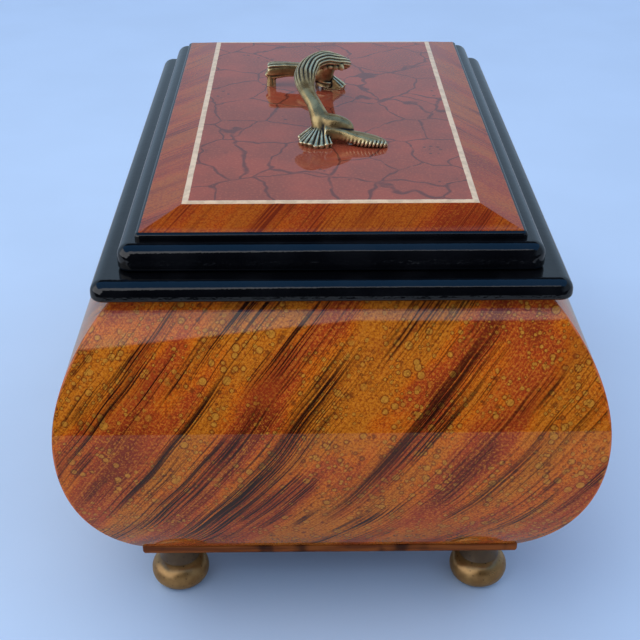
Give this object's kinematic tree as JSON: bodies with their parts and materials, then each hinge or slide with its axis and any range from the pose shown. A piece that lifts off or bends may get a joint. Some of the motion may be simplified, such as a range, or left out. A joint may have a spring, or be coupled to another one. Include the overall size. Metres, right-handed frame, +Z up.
{
  "type": "wind up music box",
  "caption": "Bombe casket music box with bent lacquered walls, half-round mouldings, a bevelled hinged lid with a cast pull, bun feet and a wind-up comb movement inside.",
  "frame": {"origin": "centre of the case in plan, on the surface that the feet stand on", "axes": "+Z up, +Y along the length towards the hinged end, +X to the right when facing the hinged end"},
  "size_m": [0.213, 0.313, 0.207],
  "materials": {
    "painted_lacquer": "high-gloss lacquer over combed amber and brown paint; the lid panel is brick red with a cream line",
    "black_lacquer": "high-gloss black lacquer",
    "gilt_wood": "antique gold paint on turned wood",
    "antique_brass": "cast, dark patina in the grooves, polished high spots",
    "velvet": "dark red velvet on card",
    "housing_wood": "satin mahogany",
    "clear_acrylic": "clear acrylic sheet",
    "polished_brass": "polished",
    "plated_zinc": "satin plated casting and pressings",
    "steel": "brushed",
    "moulded_nylon": "moulded"
  },
  "bodies": {
    "case": {"case_front": "painted_lacquer", "case_back": "painted_lacquer", "case_left": "painted_lacquer", "case_right": "painted_lacquer", "bottom_board": "painted_lacquer", "foot_front_left": "gilt_wood", "foot_front_right": "gilt_wood", "foot_back_left": "gilt_wood", "foot_back_right": "gilt_wood", "foot_screws": "steel", "rim_moulding": "black_lacquer", "rim_hinge_leaves": "polished_brass", "hinge_pins": "polished_brass", "rim_hinge_screws": "polished_brass", "floor_lining": "velvet", "lining_front": "velvet", "lining_back": "velvet", "lining_left": "velvet", "lining_right": "velvet", "movement_housing": "housing_wood", "movement_window": "clear_acrylic", "bedplate": "plated_zinc", "movement_screws": "steel", "spring_plate": "plated_zinc", "spring_plate_screws": "steel", "spring_cup": "plated_zinc", "mainspring": "steel", "bearing_inner": "plated_zinc", "bearing_outer": "plated_zinc", "comb": "steel", "comb_screws": "steel", "governor_frame": "moulded_nylon", "governor_screws": "steel", "lever_pin": "steel", "rod_bracket": "polished_brass", "rod_bracket_screws": "polished_brass"},
    "lid": {"lid_moulding": "black_lacquer", "lid_crown": "painted_lacquer", "handle": "antique_brass", "handle_screws": "steel", "lid_pad": "velvet", "lid_hinge_leaves": "polished_brass", "lid_hinge_screws": "polished_brass"},
    "winder": {"winding_arbor": "steel", "winding_key": "polished_brass", "crown_wheel": "polished_brass"},
    "drum": {"drum": "polished_brass", "drum_pins": "steel", "drum_shaft": "steel", "drum_pinion": "polished_brass", "drum_wheel": "polished_brass"},
    "governor_wheel": {"governor_wheel": "moulded_nylon", "governor_shaft": "steel"},
    "fly": {"worm_spindle": "steel", "fly": "moulded_nylon"},
    "stop_rod": {"stop_rod": "steel"},
    "stop_lever": {"stop_lever": "steel"}
  },
  "joints": [
    {"name": "lid_hinge", "type": "hinge", "parent": "case", "child": "lid", "pos_m": [0, 0.1333, 0.1622], "axis": [-1, 0, 0], "range_deg": [0, 100]},
    {"name": "key_turn", "type": "hinge", "parent": "case", "child": "winder", "pos_m": [-0.01545, 0.08213, 0.03], "axis": [0, 0, 1], "continuous": true},
    {"name": "drum_spin", "type": "hinge", "parent": "case", "child": "drum", "pos_m": [-0.01545, 0.08213, 0.0413], "axis": [1, 0, 0], "continuous": true},
    {"name": "governor_spin", "type": "hinge", "parent": "case", "child": "governor_wheel", "pos_m": [-0.01545, 0.09293, 0.0413], "axis": [1, 0, 0], "continuous": true},
    {"name": "fly_spin", "type": "hinge", "parent": "case", "child": "fly", "pos_m": [0.03405, 0.09923, 0.03], "axis": [0, 0, 1], "continuous": true},
    {"name": "stop_rod_slide", "type": "slide", "parent": "case", "child": "stop_rod", "axis": [0, 0, 1], "range_m": [0, 0.002]},
    {"name": "stop_lever_turn", "type": "hinge", "parent": "case", "child": "stop_lever", "pos_m": [0.03765, 0.10663, 0.0525], "axis": [1, 0, 0], "range_deg": [0, 16]}
  ],
  "couplings": [
    {"joint": "drum_spin", "follows": "key_turn", "ratio": 3},
    {"joint": "governor_spin", "follows": "key_turn", "ratio": -9},
    {"joint": "fly_spin", "follows": "key_turn", "ratio": 180},
    {"joint": "stop_rod_slide", "follows": "lid_hinge", "m_per_rad": 0.0011459},
    {"joint": "stop_lever_turn", "follows": "lid_hinge", "ratio": 0.16}
  ]
}
